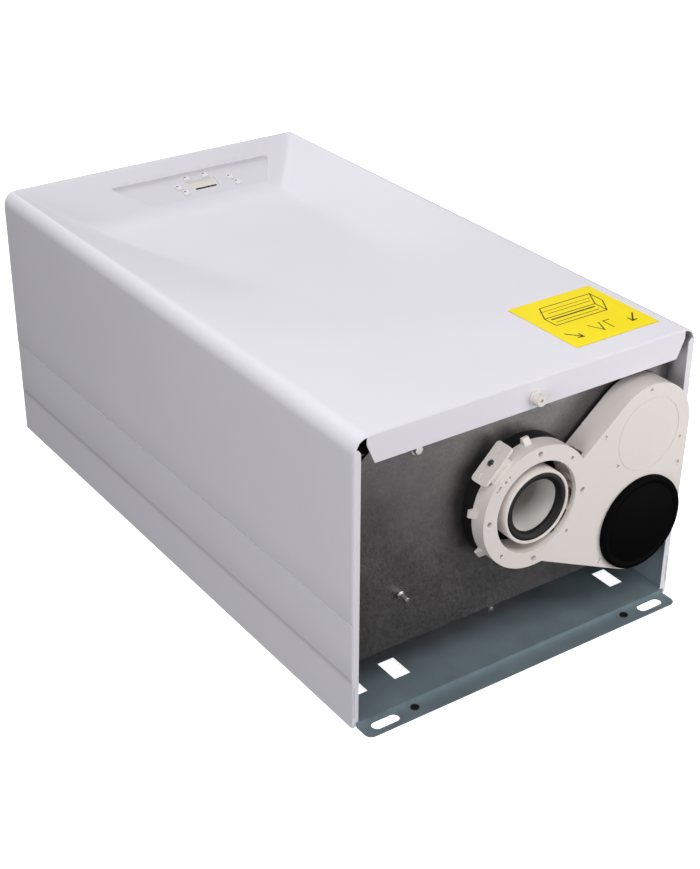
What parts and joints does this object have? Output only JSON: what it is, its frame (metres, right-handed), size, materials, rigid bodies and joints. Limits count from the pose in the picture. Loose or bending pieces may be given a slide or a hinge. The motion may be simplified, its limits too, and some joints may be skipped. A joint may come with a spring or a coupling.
{
  "type": "wall-hung condensing boiler",
  "caption": "Wall-hung condensing boiler with a dished front, keypad on the sloping end, coaxial flue socket, lift-off casing, fan, pump and heat exchangers inside.",
  "frame": {"origin": "on the wall side, under the centre of the bounding box", "axes": "+Z from the wall out through the front; -Y towards the flue end, +Y towards the pipe end; +X to the right seen from the front with the flue end away"},
  "size_m": [0.42, 0.7804, 0.3223],
  "materials": {
    "casing_white": "smooth satin enamel",
    "white_plastic": "satin",
    "fascia_white": "satin",
    "button_white": "satin",
    "label_yellow": "printed film",
    "window_cream": "smooth",
    "display_dark": "matt",
    "board_green": "solder mask",
    "grey_plastic": "matt",
    "frame_steel": "blue-grey coating",
    "galvanised": "spangled zinc",
    "zinc_screw": "zinc plated",
    "seal_rubber": "matt",
    "black_plastic": "matt",
    "cast_aluminium": "as cast",
    "stainless": "drawn",
    "fibre": "pressed fibre",
    "ceramic": "glazed",
    "duct_plastic": "satin",
    "hose_grey": "matt",
    "gas_yellow": "painted",
    "copper": "drawn",
    "vessel_red": "gloss paint",
    "motor_black": "matt",
    "pump_dark": "glass filled",
    "knob_red": "satin"
  },
  "bodies": {
    "appliance": {"control_fascia": "fascia_white", "display_window": "window_cream", "display_module": "display_dark", "control_board": "board_green", "control_housing": "grey_plastic", "rear_frame": "frame_steel", "bottom_bracket": "galvanised", "chamber_top_panel": "galvanised", "chamber_body": "galvanised", "chamber_cover": "galvanised", "chamber_seal": "seal_rubber", "screws": "zinc_screw", "panel_pin": "zinc_screw", "flue_manifold": "white_plastic", "flue_gasket": "seal_rubber", "manifold_gasket": "seal_rubber", "air_intake_cap": "black_plastic", "flue_socket": "white_plastic", "flue_seal": "seal_rubber", "flue_duct": "duct_plastic", "test_point_cover": "white_plastic", "exchanger_shell": "cast_aluminium", "exchanger_coil": "stainless", "exchanger_door": "cast_aluminium", "door_insulation": "fibre", "burner": "stainless", "ignition_electrode": "ceramic", "fan_housing": "cast_aluminium", "fan_motor": "motor_black", "air_gas_duct": "cast_aluminium", "gas_mixer": "black_plastic", "gas_valve": "cast_aluminium", "air_silencer": "black_plastic", "gas_pipe": "gas_yellow", "expansion_vessel": "vessel_red", "vessel_hose": "hose_grey", "condensate_trap": "grey_plastic", "drain_hose": "hose_grey", "return_pipe": "copper", "flow_pipe": "copper", "pump_housing": "pump_dark", "pump_motor": "motor_black", "flow_block": "pump_dark", "diverter_valve": "black_plastic", "plate_heat_exchanger": "stainless", "water_pipes": "copper", "electronics_box": "black_plastic"},
    "casing": {"front_casing": "casing_white", "casing_peg": "white_plastic", "instruction_label": "label_yellow"},
    "key_menu": {"button_menu": "button_white"},
    "key_reset": {"button_reset": "button_white"},
    "key_heat_up": {"button_heat_up": "button_white"},
    "key_heat_down": {"button_heat_down": "button_white"},
    "key_water_up": {"button_water_up": "button_white"},
    "key_water_down": {"button_water_down": "button_white"},
    "fan_rotor": {"fan_impeller": "grey_plastic"},
    "pump_rotor": {"pump_impeller": "grey_plastic"},
    "relief_knob": {"relief_valve_knob": "knob_red"},
    "diverter_spindle": {"diverter_stem": "zinc_screw"}
  },
  "joints": [
    {"name": "casing_lift", "type": "slide", "parent": "appliance", "child": "casing", "axis": [0, 0, 1], "range_m": [0, 0.34]},
    {"name": "press_menu", "type": "slide", "parent": "appliance", "child": "key_menu", "axis": [0, 0.4226, -0.9063], "range_m": [0, 0.0008], "stiffness_N_per_m": 300},
    {"name": "press_reset", "type": "slide", "parent": "appliance", "child": "key_reset", "axis": [0, 0.4226, -0.9063], "range_m": [0, 0.0008], "stiffness_N_per_m": 300},
    {"name": "press_heat_up", "type": "slide", "parent": "appliance", "child": "key_heat_up", "axis": [0, 0.4226, -0.9063], "range_m": [0, 0.0008], "stiffness_N_per_m": 300},
    {"name": "press_heat_down", "type": "slide", "parent": "appliance", "child": "key_heat_down", "axis": [0, 0.4226, -0.9063], "range_m": [0, 0.0008], "stiffness_N_per_m": 300},
    {"name": "press_water_up", "type": "slide", "parent": "appliance", "child": "key_water_up", "axis": [0, 0.4226, -0.9063], "range_m": [0, 0.0008], "stiffness_N_per_m": 300},
    {"name": "press_water_down", "type": "slide", "parent": "appliance", "child": "key_water_down", "axis": [0, 0.4226, -0.9063], "range_m": [0, 0.0008], "stiffness_N_per_m": 300},
    {"name": "fan_spin", "type": "hinge", "parent": "appliance", "child": "fan_rotor", "pos_m": [0, 0.055, 0.24], "axis": [0, 0, 1], "continuous": true},
    {"name": "pump_spin", "type": "hinge", "parent": "appliance", "child": "pump_rotor", "pos_m": [-0.13, 0.282, 0.07], "axis": [0, 0, 1], "continuous": true},
    {"name": "relief_turn", "type": "hinge", "parent": "appliance", "child": "relief_knob", "pos_m": [0.13, 0.317, 0.119], "axis": [0, 0, 1], "range_deg": [0, 90]},
    {"name": "diverter_shift", "type": "slide", "parent": "appliance", "child": "diverter_spindle", "axis": [0, 0, 1], "range_m": [-0.005, 0.005]}
  ]
}
